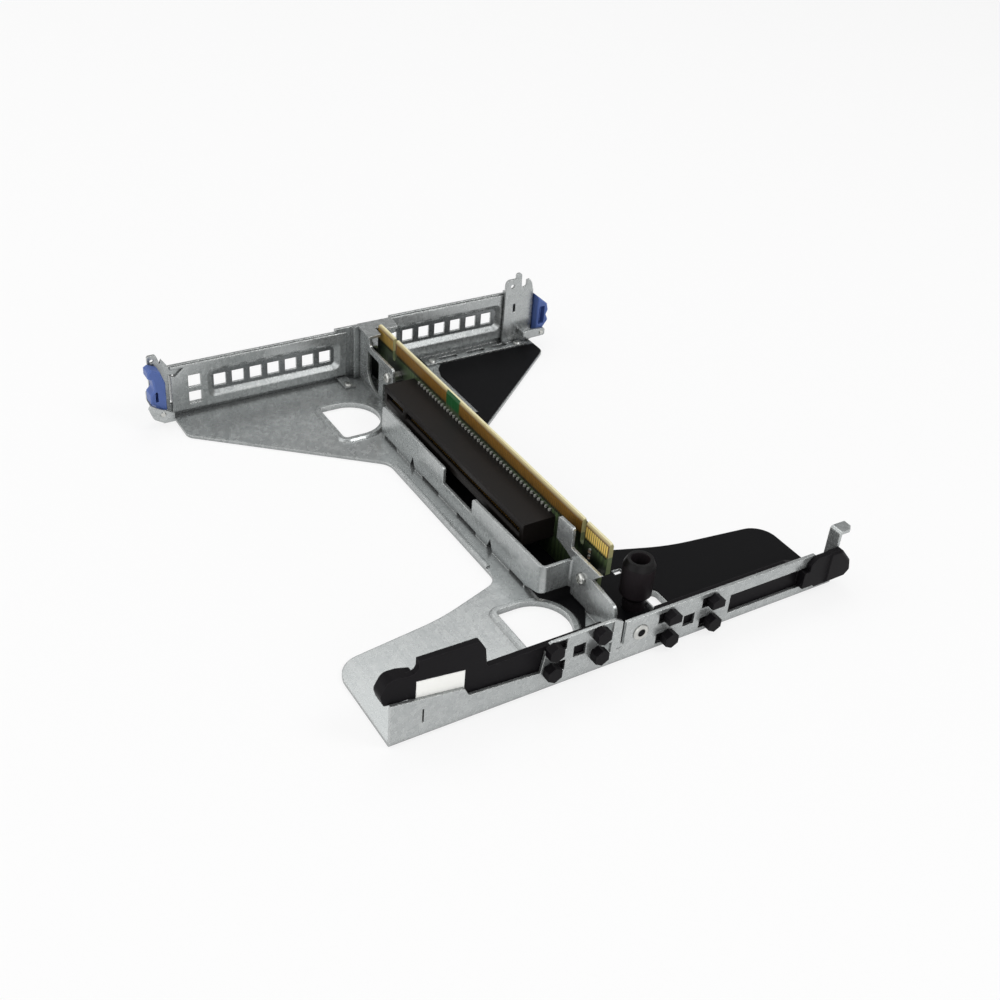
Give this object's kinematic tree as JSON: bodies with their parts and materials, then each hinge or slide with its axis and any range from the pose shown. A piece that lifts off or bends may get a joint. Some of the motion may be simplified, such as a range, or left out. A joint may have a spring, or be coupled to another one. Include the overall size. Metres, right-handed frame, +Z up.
{
  "type": "riser card",
  "caption": "Two-slot riser card in a folded steel cage, with an upright circuit board, card slots on both faces, vented blanking plates, tool-less latches and card holders.",
  "frame": {"origin": "bottom centre of the bounding box, on the base plate's underside", "axes": "+X to the right along the rear wall seen from the front flange, +Y from the front flange to the rear wall, +Z up towards the board's card edge"},
  "size_m": [0.1598, 0.1792, 0.0304],
  "materials": {
    "galvanised_steel": "galvanised sheet, satin with bright ridges",
    "bright_steel": "plated, satin",
    "circuit_board": "dark green solder mask, cream edges",
    "gold": "gold plated",
    "slot_plastic": "moulded, satin",
    "black_plastic": "moulded, fine grain",
    "blue_plastic": "moulded, satin",
    "insulating_film": "thin film, dull",
    "label_stock": "blank white label",
    "ceramic_chip": "fired ceramic"
  },
  "bodies": {
    "frame": {"cage": "galvanised_steel", "rear_frame": "galvanised_steel", "left_filler": "galvanised_steel", "right_filler": "galvanised_steel", "riser_board": "circuit_board", "left_edge_contacts": "gold", "right_edge_contacts": "gold", "left_slot_housing": "slot_plastic", "right_slot_housing": "slot_plastic", "left_slot_contacts": "gold", "right_slot_contacts": "gold", "left_latch_pin": "bright_steel", "right_latch_pin": "bright_steel", "left_card_holder": "black_plastic", "right_card_holder": "black_plastic", "holder_label": "label_stock", "guide_post": "black_plastic", "front_film": "insulating_film", "rear_film": "insulating_film", "board_screws": "bright_steel", "board_standoffs": "bright_steel", "frame_rivets": "bright_steel", "flange_eyelet": "bright_steel", "board_capacitors": "ceramic_chip"},
    "left_latch": {"left_latch": "blue_plastic"},
    "right_latch": {"right_latch": "blue_plastic"}
  },
  "joints": [
    {"name": "left_latch_hinge", "type": "hinge", "parent": "frame", "child": "left_latch", "pos_m": [-0.07525, 0.08178, 0.0062], "axis": [0, -1, 0], "range_deg": [0, 50]},
    {"name": "right_latch_hinge", "type": "hinge", "parent": "frame", "child": "right_latch", "pos_m": [0.075, 0.08178, 0.006], "axis": [0, 1, 0], "range_deg": [0, 50]}
  ]
}
